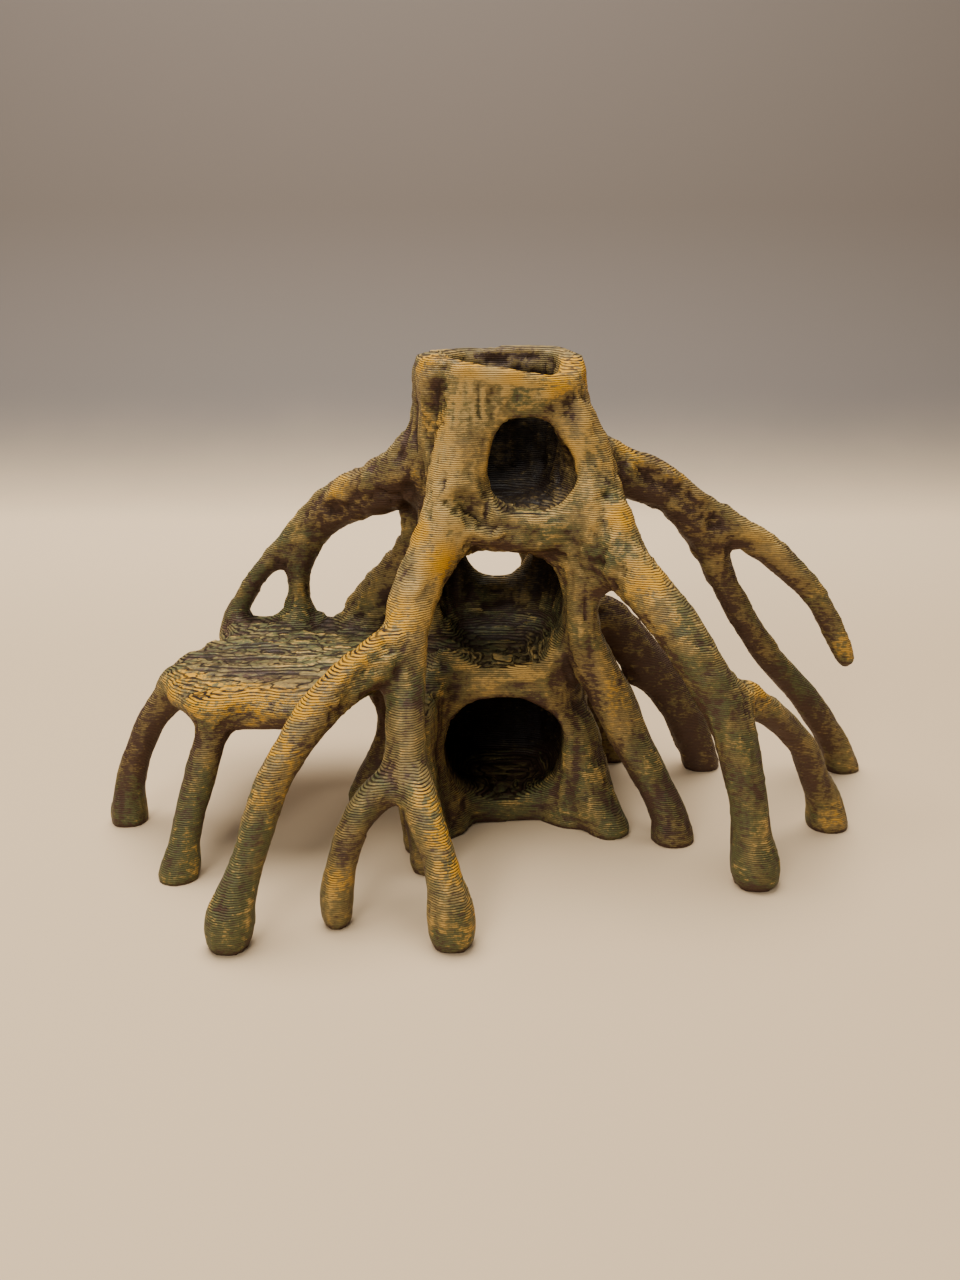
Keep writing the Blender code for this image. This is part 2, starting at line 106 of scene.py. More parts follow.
# Where the form bulges the relief is calmer: how the bulge is found, and the least and most relief.
BULGE_ROUNDS = 24
BULGE_FULL = 0.5 * MM
CALM_START = 1.25
CALM_LIMITS = (0.45, 1.0)
SUNK_ROUNDS = 6
SUNK_FULL = 0.30 * MM
MASK_MIDDLE = 0.5
MASK_SPREAD = 0.22

# Long creases in the bark: points in millimetres, and a depth. Most points were measured by casting
# a spot seen in the photo onto the solid.
CREASE_WIDTH = 0.8
CREASE_FLOOR = 0.6
CREASE_WANDER = 0.35
BANK_SHARE = 0.35
BANK_PLACE = 2.6
BANK_WIDTH = 1.2
CREASES = [
    ([(-11.0, -4.7, 85.0), (-11.4, -5.1, 82.0), (-12.1, -4.8, 79.0), (-13.0, -4.3, 73.0)], 0.85),
    ([(-7.4, -10.7, 64.0), (-5.7, -10.2, 62.5), (-4.0, -10.2, 61.0)], 0.90),
    ([(-9.3, -11.4, 63.0), (-6.9, -11.1, 61.5), (-4.5, -11.2, 60.0), (-3.2, -11.6, 59.0)], 0.90),
    ([(-4.0, -11.1, 60.0), (-1.8, -11.5, 59.0), (0.6, -11.7, 58.5), (5.0, -11.6, 57.0)], 0.65),
    ([(17.0, -11.1, 63.5), (16.5, -14.0, 59.0), (16.0, -14.1, 54.0)], 0.55),
    ([(-20.0, -27.6, 42.0), (-22.0, -30.2, 40.0), (-25.0, -33.2, 37.0), (-27.0, -35.4, 34.5)], 0.65),
    ([(19.5, -17.5, 52.5), (19.0, -16.6, 49.0)], 0.60),
    ([(24.0, 1.0, 66.5), (28.6, 2.2, 64.5), (33.5, 3.2, 60.5), (38.5, 4.4, 56.0)], 0.70),
    ([(-20.0, 5.3, 62.0), (-26.3, 7.1, 60.5), (-33.3, 12.7, 56.0)], 0.70),
]

# Low swells on the ledge's top and the middle cave's floor, between two heights in millimetres.
SWELL_HEIGHT = 0.30 * MM
SWELL_LENGTH = 13.0 * MM
SWELL_WIDTH = 5.0 * MM
SWELL_SMEAR = 4
SWELL_FACING = (0.45, 0.80)
SWELL_LOW = (27.0, 29.0)
SWELL_HIGH = (36.0, 33.5)

# Painted shade in the caves' insides: centre, half sizes in millimetres, and how dark.
CAVE_SQUARENESS = 4
CAVE_EDGE = (1.10, 0.86)
CAVE_SHADE_BOXES = [
    ((-0.2, 7.5, 16.5), (13.5, 14.0, 11.2), 1.0),
    ((-0.8, 8.5, 46.2), (13.5, 11.0, 9.4), 0.92),
    ((-0.2, 7.0, 69.0), (11.6, 10.2, 11.0), 0.95),
    ((0.0, 7.0, 78.5), (9.8, 9.6, 6.5), 0.80),
]

# Colour laid on in soft dabs, with painted light and shade among them: centre and radius in millimetres,
# and strength. Many centres were
# measured by casting a spot seen in the photo onto the solid.
DAB_SHARPNESS = 3
PAINT = {
    # Gold paint, and painted highlight on lit tops and ridges.
    "gilt_and_highlight": [
        ((-19.0, -22.0, 46.0), 4.0, 0.8), ((-22.5, -24.5, 44.0), 4.2, 1.0),
        ((-26.0, -28.5, 42.0), 4.2, 1.0), ((-29.6, -31.2, 39.5), 4.2, 1.0),
        ((-33.0, -35.0, 36.0), 4.2, 1.0), ((-36.0, -40.0, 31.0), 4.0, 0.8),
        ((-38.0, -44.5, 24.5), 3.5, 0.5), ((-51.0, -19.0, 32.0), 6.0, 1.0),
        ((-45.0, -20.5, 31.5), 5.5, 1.0), ((-57.0, -13.0, 31.5), 5.5, 0.8),
        ((-38.0, -21.5, 31.0), 5.0, 0.6), ((-12.0, -40.0, 21.0), 3.5, 0.7),
        ((-10.5, -43.8, 17.0), 3.0, 0.9), ((-8.6, -46.8, 12.5), 3.2, 0.8),
        ((-6.0, -49.5, 5.5), 4.0, 0.3),
        ((-12.5, 0.0, 86.5), 4.0, 1.0), ((-6.0, -4.5, 86.0), 3.0, 0.7),
        ((1.5, -5.5, 84.5), 2.6, 0.6), ((8.5, -4.0, 83.5), 3.5, 0.8),
        ((11.5, 2.5, 84.5), 4.5, 1.0), ((-12.5, -4.7, 76.0), 3.0, 0.5),
        ((-15.5, 0.0, 65.0), 3.0, 0.6), ((-11.5, -15.0, 54.0), 3.5, 0.6),
        ((-15.0, -12.0, 58.0), 3.0, 0.7), ((-20.0, -20.5, 47.5), 3.0, 0.6),
        ((24.0, -19.5, 51.5), 4.0, 0.6), ((28.0, -23.0, 45.0), 4.0, 0.3),
        ((19.5, -11.5, 27.5), 3.5, 0.3), ((27.0, -15.0, 22.5), 3.5, 0.5),
        ((65.7, 6.8, 30.5), 4.0, 0.4), ((60.0, 6.0, 42.0), 4.0, 0.2), ((43.5, -21.5, 33.5), 4.5, 0.5),
        ((22.0, 3.0, 69.5), 4.0, 0.7), ((31.0, 4.0, 67.0), 4.0, 0.6),
        ((-31.0, 12.0, 60.5), 4.0, 0.4), ((-27.0, -44.0, 9.0), 3.0, 0.4),
        ((61.5, -11.0, 3.5), 3.5, 0.3), ((19.5, -13.0, 61.0), 3.0, 0.6),
    ],
    # Paler paint, and painted light on the middle cave's floor and sill.
    "pale": [
        ((-7.0, -7.0, 78.0), 5.0, 0.9), ((-10.0, -8.0, 71.0), 6.5, 1.0),
        ((-12.0, -10.5, 62.0), 5.0, 0.8), ((0.0, -7.5, 81.0), 5.0, 0.6),
        ((12.5, -5.0, 72.0), 4.0, 0.5), ((18.0, -12.0, 60.0), 5.0, 0.6),
        ((-13.0, -17.0, 48.0), 5.0, 0.7), ((-12.5, -24.0, 38.0), 4.0, 0.5),
        ((9.0, -7.5, 58.0), 5.0, 0.4), ((47.0, 5.5, 54.0), 5.0, 0.5), ((22.0, -13.0, 24.0), 4.0, 0.4),
        ((2.0, -6.0, 77.0), 7.0, 0.6), ((-8.0, -11.5, 58.0), 5.0, 0.8),
        ((0.0, -9.0, 29.0), 6.0, 0.5), ((-9.0, -9.0, 28.0), 5.0, 0.4),
        ((0.0, -4.0, 34.0), 8.0, 1.0), ((7.0, -2.0, 34.0), 6.0, 1.0), ((-32.0, -2.0, 33.0), 12.0, 0.6),
    ],
    "moss": [
        ((-43.0, 15.0, 32.5), 12.0, 1.0), ((-50.5, 5.0, 32.0), 9.0, 0.8),
        ((-32.0, 6.0, 33.0), 13.0, 1.0), ((-3.0, 9.0, 32.5), 9.0, 1.0),
        ((7.0, 9.0, 34.0), 7.0, 0.9), ((-53.5, -26.0, 14.0), 8.0, 0.8),
        ((-55.5, -29.0, 4.5), 8.0, 1.0), ((-42.0, -46.5, 17.0), 7.0, 0.8),
        ((-42.5, -51.5, 6.0), 7.5, 1.0), ((-8.5, -51.5, 3.0), 5.0, 1.0),
        ((12.5, -7.5, 69.0), 6.0, 0.6), ((4.0, -10.8, 60.5), 5.0, 0.5),
        ((-41.0, 17.0, 47.5), 8.0, 0.7), ((-70.5, -8.5, 4.0), 6.0, 0.7),
        ((40.0, -30.5, 18.0), 7.0, 0.6), ((43.0, -30.0, 5.0), 6.0, 0.5),
        ((2.0, -6.0, 4.5), 7.0, 0.6), ((21.0, -19.0, 48.0), 4.0, 0.4),
        ((-17.5, -28.0, 36.0), 5.0, 0.6), ((-9.5, -6.0, 81.0), 4.0, 0.5),
        ((6.0, -7.0, 79.0), 6.0, 0.4), ((60.0, 14.0, 22.0), 8.0, 0.5),
        ((-20.0, -26.0, 20.0), 5.0, 0.5), ((-36.0, -36.0, 36.0), 3.0, 0.3),
        ((30.0, -26.0, 41.0), 7.0, 0.5), ((34.0, -28.5, 32.0), 7.0, 0.7),
        ((36.5, -29.0, 25.0), 7.0, 0.7), ((17.0, -10.0, 62.0), 7.0, 0.6),
        ((18.5, -13.5, 56.0), 6.0, 0.6), ((6.0, -8.0, 70.0), 5.0, 0.3),
    ],
    # Brown paint, and painted shade on the back and upper roots, the lower legs and the rim's hollow.
    "wash_and_shade": [
        ((-20.0, 5.0, 60.5), 8.0, 1.0), ((-26.5, 7.0, 61.0), 8.0, 0.9),
        ((-33.5, 12.5, 56.0), 8.0, 0.9), ((-42.0, 20.0, 44.0), 9.0, 0.7),
        ((21.5, 2.0, 62.0), 6.0, 0.9), ((34.0, 4.0, 59.0), 7.0, 0.9),
        ((44.0, 7.0, 44.0), 8.0, 0.8), ((53.0, 10.0, 24.0), 7.0, 0.5),
        ((-16.0, 3.0, 55.0), 6.0, 0.9), ((-17.5, -8.0, 50.0), 3.5, 0.7),
        ((-52.0, 22.0, 38.0), 8.0, 0.6), ((-18.0, 16.0, 46.0), 9.0, 0.9),
        ((-67.5, -8.5, 16.0), 8.0, 0.9), ((-70.0, -8.0, 10.0), 7.0, 0.5),
        ((-50.0, -22.0, 24.0), 5.0, 0.6), ((-32.0, -39.5, 32.5), 4.0, 0.6),
        ((-38.0, -43.0, 26.0), 4.0, 0.4), ((28.5, 2.0, 64.5), 7.0, 0.9),
        ((38.5, 4.5, 55.5), 7.0, 0.9), ((47.5, 8.5, 33.0), 7.0, 0.7),
        ((32.0, 14.5, 26.0), 10.0, 1.0), ((24.0, 14.0, 33.0), 9.0, 1.0),
        ((42.0, 16.5, 9.0), 11.0, 1.0), ((37.5, -29.5, 22.0), 3.0, 0.5),
        ((-25.0, -42.5, 14.0), 3.0, 0.8), ((16.0, -14.0, 54.0), 4.0, 0.7),
        ((-14.5, -28.5, 33.5), 4.0, 0.5), ((57.5, -12.5, 14.0), 6.0, 0.6),
        ((50.5, -17.0, 23.5), 5.0, 0.6), ((16.5, -10.5, 26.5), 4.0, 0.6),
        ((29.5, -15.0, 6.0), 7.0, 0.7), ((62.0, 15.0, 12.0), 9.0, 0.6),
        ((-25.0, 4.0, 14.0), 13.0, 0.9), ((-13.0, -24.0, 8.0), 6.0, 0.8),
        ((1.0, 13.5, 83.0), 7.0, 1.0), ((-71.0, -8.0, 4.0), 5.0, 0.4), ((-53.5, -26.0, 15.0), 9.0, 0.4),
        ((-18.0, 2.4, 72.0), 4.5, 1.0), ((-20.0, 2.2, 66.0), 5.0, 1.0), ((-66.0, -9.0, 22.0), 7.0, 0.7),
        ((-46.0, -22.5, 26.5), 4.0, 0.7), ((-36.0, -23.0, 27.0), 4.5, 0.8),
        ((-54.0, -18.5, 26.5), 4.0, 0.6), ((34.0, -28.5, 33.0), 6.0, 0.5),
        ((39.0, -29.0, 20.0), 6.0, 0.4), ((24.0, -21.5, 47.0), 4.0, 0.5),
        ((29.0, -24.0, 43.0), 7.0, 0.6), ((62.0, 6.5, 36.0), 6.0, 0.5), ((56.0, 5.5, 46.0), 6.0, 0.5),
        ((-6.5, 8.0, 82.5), 5.0, 0.8), ((-14.5, 2.0, 80.0), 5.5, 1.0), ((-13.0, -3.5, 81.5), 4.5, 0.9),
        ((-15.0, 2.0, 73.0), 5.0, 0.8), ((-17.0, 2.0, 67.0), 5.0, 0.7),
        ((-6.0, -8.0, 73.0), 3.5, 0.7), ((9.5, -5.5, 76.0), 4.0, 0.6),
        ((0.0, -9.0, 57.0), 4.0, 0.5), ((17.0, -12.0, 44.0), 5.0, 0.7),
    ],
}

# Print layers: how far apart they are, how they waver, and how wide their dark edges look on steep
# and on shallow places.
LAYER_PITCH = 0.35 * MM
LAYER_WAVER = 0.24 * MM
LAYER_WAVER_NOISE = (260.0, 2.0)
LEAST_STEEPNESS = 0.002
STEEP_TO_SHALLOW = (0.75, 0.15)
STEEP_EDGE = 0.09 * MM
SHALLOW_EDGE = 0.42 * MM
EDGE_FADE = (0.45, 1.10, 1.0, 0.0)

# Noises in the skin's colours: scale, detail, roughness and distortion, and how they are squeezed.
DASHES = (560.0, 3.0, 0.65)
DASH_STEP = 0.0023
STREAKS = (240.0, 4.0, 0.65)
STREAK_SQUEEZE = (1.0, 1.0, 4.0)
BLOTCHES = (170.0, 4.0, 0.65, 0.5)
BLOTCH_SQUEEZE = (1.0, 1.0, 1.4)
FLECKS = (900.0, 3.0, 0.7)
FLECK_SQUEEZE = (1.0, 1.0, 1.8)
BROAD_PATCHES = (60.0, 4.0, 0.6)
CONTOURS = (75.0, 3.0, 0.5, 0.6)
CONTOUR_SQUEEZE = (1.0, 2.2, 1.0)
CONTOUR_TURNS = 7.0

# How much each pattern adds to the tone, and where the tone is brown, of the middle colour and bright.
# The crest share is painted highlight and shade, and the gilt, pale and wash shares are paint together
# with painted highlight, light and shade.
TONE_SHARES = {
    "blotches": 0.35, "streaks": 0.5, "dashes": 1.2, "flecks": 1.4, "crest": 0.40, "streak": 0.35,
    "fibre": 0.45, "gilt_and_highlight": 0.85, "pale": 0.40, "wash_and_shade": -0.44, "moss": 0.08, "low_down": -0.22,
}
TONE_BROWN = 1.82
TONE_MIDDLE = 2.36
TONE_BRIGHT = 2.92

# Ramps: where each starts and ends, and what it gives at its start and at its end.
LOW_DOWN = (0.055, 0.018)
# Where the gold paint and painted highlight of the gilt dabs break up.
GILT_AND_HIGHLIGHT_BREAKS = (0.42, 0.56, 0.35, 1.0)
# Painted shade by facing: darker underneath, and a little darker on top.
SHADE_FACING_DOWN = (0.05, -0.70, 0.0, -0.50)
SHADE_FACING_UP = (0.35, 0.90, 0.0, -0.04)
OLIVE_PATCHES = (0.40, 0.62, 0.0, 0.6)
OLIVE_BREAKS = (0.62, 0.42, 0.55, 1.2)
OLIVE_ON_MOSS = 0.9
OLIVE_LOW_DOWN = 0.30
# Gold on the crests: dry-brushed paint and painted highlight.
GOLD_AND_HIGHLIGHT_ON_CRESTS = (0.55, 0.95, 0.0, 0.25)
GOLD_PATCHES = (0.56, 0.36, 0.0, 0.2)
# Painted shade in the hollows.
HOLLOW_SHADE = (0.34, 0.02, 0.0, 0.50)
LINE_BREAKS = (0.38, 0.56, 0.60, 1.0)
LINE_FACING = (0.05, 0.45, 0.42, 1.0)
CONTOUR_LINES = (0.34, 0.46, 0.0, 0.80)
CONTOUR_FACING = (0.86, 0.96)
# How unevenly the painted shade lies inside the caves.
CAVE_SHADE_BREAKS = (0.66, 0.48, 0.80, 1.0)

# The satin finish: where wear runs from smooth to rough, and the fine relief of layers and specks.
WEAR_TO_ROUGHNESS = (0.3, 0.8, 0.46, 0.70)
WEAR_BLOTCHES = 0.8
WEAR_EDGES = 0.25
SKIN_SHINE = 0.16
BUMP_STRENGTH = 0.9
BUMP_DISTANCE = 0.11 * MM
BUMP_FLECKS = 1.0
BUMP_DASHES = 0.5

# The skin's colours.
OCHRE = (0.300, 0.198, 0.068, 1.0)
SAND = (0.520, 0.360, 0.130, 1.0)
GOLD = (0.670, 0.325, 0.008, 1.0)
OLIVE = (0.112, 0.112, 0.044, 1.0)
BROWN = (0.082, 0.045, 0.030, 1.0)
DARK = (0.018, 0.009, 0.004, 1.0)
# The painted shade inside the caves.
CAVE_SHADE_COLOUR = (0.006, 0.0025, 0.0015, 1.0)

# The backdrop: where the floor starts to rise, its bend's radius, its reach, and its colours, with
# painted light on the back of the floor and painted shade up the wall.
SWEEP_FRONT = -0.9
SWEEP_BACK = 0.27
SWEEP_BEND = 0.12
SWEEP_STEPS = 16
SWEEP_TOP = 1.3
SWEEP_HALF_WIDTH = 1.6
FLOOR_NEAR = (0.740, 0.555, 0.350, 1.0)
LIT_FLOOR_FAR = (0.930, 0.715, 0.470, 1.0)
SHADED_WALL = (0.190, 0.163, 0.145, 1.0)
NEAR_TO_FAR = (0.06, 0.26)
FLOOR_TO_WALL = (0.256, 0.368)
SWEEP_MOTTLE = (14.0, 3.0)
SWEEP_MOTTLE_SHIFT = 0.012
SWEEP_ROUGHNESS = 0.7
SWEEP_SHINE = 0.2

# Lights: place, target, size in metres, and power in watts.
WARM_WHITE = (1.0, 0.95, 0.87)
OVERHEAD = ((-0.08, 0.10, 0.60), (0.0, 0.06, 0.0), 0.50, 6.5)
FRONT = ((-0.28, -0.70, 0.42), (0.0, 0.0, 0.04), 0.35, 3.4)
ROOM_COLOUR = (0.86, 0.93, 1.0, 1.0)
ROOM_STRENGTH = 0.22

# The camera: its place in metres, its tilt in degrees, and its lens and film width in millimetres.
CAMERA_PLACE = (-0.00453, -0.21330, 0.106)
CAMERA_TILT = 71.5
CAMERA_LENS = 33.75
CAMERA_FILM = 36.0
CAMERA_NEAR = 0.005


def object_from(name, data):
    obj = bpy.data.objects.new(name, data)
    bpy.context.scene.collection.objects.link(obj)
    return obj


def rounded_facets(mesh):
    """Splits each facet into small ones that bulge between its corners' tangent planes."""
    mesh.calc_loop_triangles()
    corners = np.array([t.vertices[:] for t in mesh.loop_triangles])
    points = np.array([v.co[:] for v in mesh.vertices])[corners]
    normals = np.array([v.normal[:] for v in mesh.vertices])[corners]
    steps = range(FACET_SPLITS + 1)
    shares = [(a, b, FACET_SPLITS - a - b) for a in steps for b in steps if a + b <= FACET_SPLITS]
    place_of = {share[:2]: k for k, share in enumerate(shares)}
    spots = []
    for share in shares:
        weights = np.array(share) / FACET_SPLITS
        flat = (points * weights[None, :, None]).sum(axis=1)
        reach = ((flat[:, None, :] - points) * normals).sum(axis=2, keepdims=True)
        bulged = ((flat[:, None, :] - reach * normals) * weights[None, :, None]).sum(axis=1)
        spots.append((1.0 - FACET_ROUNDING) * flat + FACET_ROUNDING * bulged)
    small = []
    for a, b in place_of:
        if a + b < FACET_SPLITS:
            small.append((place_of[a, b], place_of[a + 1, b], place_of[a, b + 1]))
        if a + b < FACET_SPLITS - 1:
            small.append((place_of[a + 1, b], place_of[a + 1, b + 1], place_of[a, b + 1]))
    starts = np.arange(len(corners)) * len(shares)
    faces = (starts[:, None, None] + np.array(small)[None]).reshape(-1, 3)
    rounded = bpy.data.meshes.new("rounded_facets")
    rounded.from_pydata(np.stack(spots, axis=1).reshape(-1, 3).tolist(), [], faces.tolist())
    return rounded


def refined_copy(source, name):
    """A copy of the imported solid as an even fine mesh, with its facets rounded away."""
    bm = bmesh.new()
    bm.from_mesh(source.data)
    bmesh.ops.remove_doubles(bm, verts=bm.verts, dist=WELD_DISTANCE)
    mesh = bpy.data.meshes.new(name)
    bm.to_mesh(mesh)
    bm.free()
    obj = object_from(name, rounded_facets(mesh))
    remesh = obj.modifiers.new("even_faces", "REMESH")
    remesh.mode = "VOXEL"
    remesh.voxel_size = SKIN_VOXEL
    graph = bpy.context.evaluated_depsgraph_get()
    even = bpy.data.meshes.new_from_object(obj.evaluated_get(graph))
    obj.modifiers.clear()
    obj.data = even
    return obj


class Skin:
    """The mesh as arrays: points, edges, and averages over neighbours."""

    def __init__(self, mesh):
        self.mesh = mesh
        self.count = len(mesh.vertices)
        points = np.empty(self.count * 3)
        mesh.vertices.foreach_get("co", points)
        self.points = points.reshape(-1, 3)
        edges = np.empty(len(mesh.edges) * 2, np.int64)
        mesh.edges.foreach_get("vertices", edges)
        self.edges = edges.reshape(-1, 2)

    def gather(self, on_edges):
        """The sum, at each point, of a value on its edges."""
        first = np.bincount(self.edges[:, 0], on_edges, self.count)
        return first + np.bincount(self.edges[:, 1], on_edges, self.count)

    def neighbour_mean(self, values, weights=None):
        """Each point's weighted mean over its neighbours, for a column or several."""
        columns = values.reshape(self.count, -1)
        weights = np.ones(len(self.edges)) if weights is None else weights
        total = np.maximum(self.gather(weights), 1e-9)
        start, end = self.edges[:, 0], self.edges[:, 1]
        out = np.empty_like(columns)
        for k in range(columns.shape[1]):
            column = columns[:, k]
            moved = np.bincount(start, column[end] * weights, self.count)
            moved += np.bincount(end, column[start] * weights, self.count)
            out[:, k] = moved / total
        return out.reshape(values.shape)

    def smoothed(self, values, rounds, weights=None):
        for _ in range(rounds):
            values = 0.5 * values + 0.5 * self.neighbour_mean(values, weights)
        return values

    def fair(self, rounds):
        """Smooths the steps away without thinning the roots, and leaves the rim its crisp edge."""
        above = share_between(*RIM_HEIGHTS, self.points[:, 2:] / MM)
        share = 1.0 - (1.0 - RIM_FAIRING) * above
        for _ in range(rounds):
            for factor in FAIRING_STEPS:
                self.points += factor * share * (self.neighbour_mean(self.points) - self.points)
        self.store()

    def store(self):
        self.mesh.vertices.foreach_set("co", self.points.ravel())
        self.mesh.update()

    def normals(self):
        found = np.empty(self.count * 3)
        self.mesh.vertex_normals.foreach_get("vector", found)
        return found.reshape(-1, 3)


def grain_direction(skin, normals):
    """The direction the bark runs at each point: along the root, and outwards from the trunk."""
    axis_x, axis_y = GRAIN_AXIS
    outward = skin.points - np.array([axis_x * MM, axis_y * MM, 0.0])
    outward[:, 2] = -GRAIN_FALL * np.hypot(outward[:, 0], outward[:, 1]) - GRAIN_DROP
    outward /= np.linalg.norm(outward, axis=1, keepdims=True)
    pairs = [(0, 0), (0, 1), (0, 2), (1, 1), (1, 2), (2, 2)]
    spread = np.stack([normals[:, a] * normals[:, b] for a, b in pairs], axis=1)
    spread = skin.smoothed(spread, GRAIN_ROUNDS)
    guide = np.stack([(a == b) - outward[:, a] * outward[:, b] for a, b in pairs], axis=1)
    spread += GRAIN_GUIDE * guide
    matrix = np.empty((skin.count, 3, 3))
    for k, (a, b) in enumerate(pairs):
        matrix[:, a, b] = matrix[:, b, a] = spread[:, k]
    return np.linalg.eigh(matrix)[1][:, :, 0]


def weights_along(skin, grain):
    """How much each edge of the mesh runs with the grain, to smear noise into fibres."""
    first, second = skin.edges[:, 0], skin.edges[:, 1]
    run = skin.points[second] - skin.points[first]
    run /= np.maximum(1e-9, np.linalg.norm(run, axis=1, keepdims=True))
    agree = np.sign((grain[first] * grain[second]).sum(axis=1, keepdims=True))
    grain_here = (grain[first] + agree * grain[second]) / 2.0
    return np.abs((run * grain_here).sum(axis=1)) ** GRAIN_SHARPNESS + LEAST_ALONG


def evened(values):
    """Centred on zero, with a spread of one, and without far outliers."""
    values = values - values.mean()
    return np.clip(values / max(1e-12, values.std()), -FAR_OUTLIER, FAR_OUTLIER)


def noise_at(points, spacing, seed, octaves=2):
    """Soft noise whose features are about as wide as the spacing, one number or one for each axis."""
    shift = Vector([seed * step for step in NOISE_SHIFT])
    places = (points / spacing).tolist()
    return np.array([noise.fractal(Vector(p) + shift, NOISE_FALL, NOISE_STEP, octaves) for p in places])


def share_between(low, high, values):
    """How far each value is from the first to the second, from none to all."""
    return np.clip((values - low) / (high - low), 0.0, 1.0)


def pits_at(skin, rng):
    """Small pits with a raised lip, scattered over the bark."""
    depth = np.zeros(skin.count)
    for centre in skin.points[rng.integers(0, skin.count, PIT_COUNT)]:
        reach = rng.uniform(*PIT_REACH) * MM
        away = np.linalg.norm(skin.points - centre, axis=1) / reach
        near = away < PIT_END
        lip = PIT_LIP * np.exp(-((away[near] - PIT_LIP_PLACE) ** 2) * PIT_LIP_SHARPNESS)
        depth[near] += lip - np.exp(-(away[near] ** 2))
    return np.clip(depth, *PIT_LIMITS)


def distance_to_line(points, line):
    """How far each point is from a line through several places."""
    nearest = np.full(len(points), np.inf)
    for start, end in zip(line, line[1:]):
        start, end = np.array(start), np.array(end)
        run = end - start
        share = np.clip((points - start) @ run / (run @ run), 0.0, 1.0)
        away = np.linalg.norm(points - start - share[:, None] * run, axis=1)
        nearest = np.minimum(nearest, away)
    return nearest


def creases_at(points, wander):
    """Creases that waver a little: a sharp cut with a low swelling beside it."""
    depth = np.zeros(len(points))
    for line, cut in CREASES:
        away = distance_to_line(points / MM, line) + CREASE_WANDER * wander
        groove = -np.exp(-((np.maximum(away - CREASE_FLOOR, 0.0) / CREASE_WIDTH) ** 2))
        bank = BANK_SHARE * np.exp(-(((away - BANK_PLACE) / BANK_WIDTH) ** 2))
        depth += cut * MM * (groove + bank)
    return depth


def roughness_at(points, wander):
    """How rough the bark is: smooth legs, a rougher trunk, gnarled upper roots and a torn rim inside."""
    x, y, z = (points / MM).T
    from_axis = np.hypot(x - TRUNK_AXIS[0], y - TRUNK_AXIS[1]) + wander
    rise = share_between(*LEG_HEIGHTS, z + LEG_WAVER * wander)
    beyond = share_between(*ROOTS_BEYOND, from_axis) * share_between(*ROOTS_BEHIND, y)
    rough = LEG_SHARE + rise * (TRUNK_SHARE + (ROOT_SHARE - TRUNK_SHARE) * beyond - LEG_SHARE)
    within = share_between(*RIM_HOLLOW_WIDTHS, from_axis) * share_between(*RIM_HOLLOW_HEIGHTS, z)
    return rough + (RIM_SHARE - rough) * within


def swells_at(points, normals, skin, along):
    """Low swells on what faces up at the ledge's height."""
    stretch = np.array([SWELL_LENGTH, SWELL_WIDTH, SWELL_WIDTH])
    swells = evened(noise_at(points, stretch, seed=4))
    height = points[:, 2] / MM
    top = share_between(*SWELL_FACING, normals[:, 2])
    level = share_between(*SWELL_LOW, height) * share_between(*SWELL_HIGH, height)
    return SWELL_HEIGHT * skin.smoothed(swells * top * level, SWELL_SMEAR, along)


def cave_shade_at(points):
    """How much painted shade the caves give each point: none outside, with a soft edge at the mouths."""
    mask = np.zeros(len(points))
    for centre, half, dark in CAVE_SHADE_BOXES:
        share = np.abs(points / MM - np.array(centre)) / np.array(half)
        reach = (share**CAVE_SQUARENESS).sum(axis=1) ** (1.0 / CAVE_SQUARENESS)
        mask = np.maximum(mask, dark * share_between(*CAVE_EDGE, reach))
    return mask


def dabs_at(points, dabs):
    """Soft round dabs, each of its own strength."""
    mask = np.zeros(len(points))
    for centre, radius, strength in dabs:
        away = np.linalg.norm(points / MM - np.array(centre), axis=1) / radius
        mask = np.maximum(mask, strength * np.exp(-(away**DAB_SHARPNESS)))
    return mask


def keep_mask(mesh, name, values):
    """Stores a value from none to all at each point, for the material to read by its name."""
    layer = mesh.attributes.new(name, "FLOAT", "POINT")
    layer.data.foreach_set("value", np.clip(values, 0.0, 1.0).astype(np.float32))


